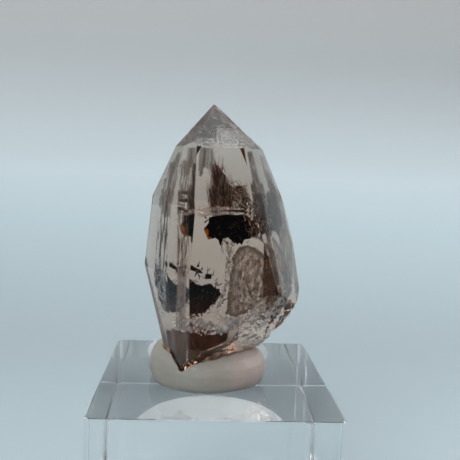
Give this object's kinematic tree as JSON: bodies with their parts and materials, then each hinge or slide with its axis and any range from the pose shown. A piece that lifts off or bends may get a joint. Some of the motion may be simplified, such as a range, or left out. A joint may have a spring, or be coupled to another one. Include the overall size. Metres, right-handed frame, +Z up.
{
  "type": "himalayan smoky quartz crystal on a display block",
  "caption": "Clear smoky quartz point with dark inclusions and a broken foot, standing upright in a lump of putty on a clear square display block.",
  "frame": {"origin": "middle of the display block's underside, on the surface that it stands on", "axes": "+Z up, from the block to the crystal's tip; -Y towards the picture's viewer; +X to that viewer's right"},
  "size_m": [0.0508, 0.0508, 0.102],
  "materials": {
    "clear_acrylic": "polished, water clear",
    "display_putty": "soft satin, slightly translucent",
    "smoky_quartz": "glassy growth faces, rough shell-like fracture at the foot",
    "dark_mineral": "dull to metallic black, brown at thin edges"
  },
  "bodies": {
    "root": {"display_block": "clear_acrylic", "putty": "display_putty", "crystal_front": "smoky_quartz", "crystal_back": "smoky_quartz", "inclusion_upper": "dark_mineral", "inclusion_lower": "dark_mineral", "inclusion_flake_left": "dark_mineral", "inclusion_flake_right": "dark_mineral"}
  },
  "joints": []
}
